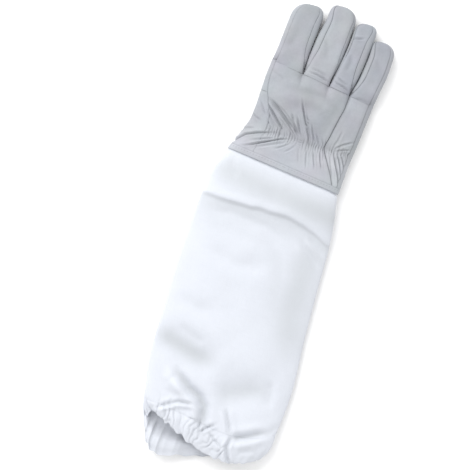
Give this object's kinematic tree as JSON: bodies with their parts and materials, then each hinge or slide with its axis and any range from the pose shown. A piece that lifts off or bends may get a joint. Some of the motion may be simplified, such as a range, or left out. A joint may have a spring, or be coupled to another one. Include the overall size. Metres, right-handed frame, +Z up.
{
  "type": "beekeeping glove",
  "caption": "Leather glove with a long white cotton sleeve and a gathered end, right hand, lying palm down with the thumb folded under.",
  "frame": {"origin": "on the floor below the middle of the glove's bounding box", "axes": "+Y along the glove towards the fingertips, +X towards the little finger, +Z up from the floor, out of the back of the hand"},
  "size_m": [0.1638, 0.4976, 0.0256],
  "materials": {
    "leather": "smooth pale grey grain leather, matt",
    "cotton": "white cotton drill, matt"
  },
  "bodies": {
    "root": {"back_panel": "leather", "side_panel": "leather", "palm_panel": "leather", "thumb_front": "leather", "thumb_back": "leather", "leather_hem": "leather", "index_back": "leather", "middle_back": "leather", "ring_back": "leather", "little_back": "leather", "fourchette_index_middle": "leather", "fourchette_middle_ring": "leather", "fourchette_ring_little": "leather", "sleeve": "cotton", "cuff_casing": "cotton"}
  },
  "joints": []
}
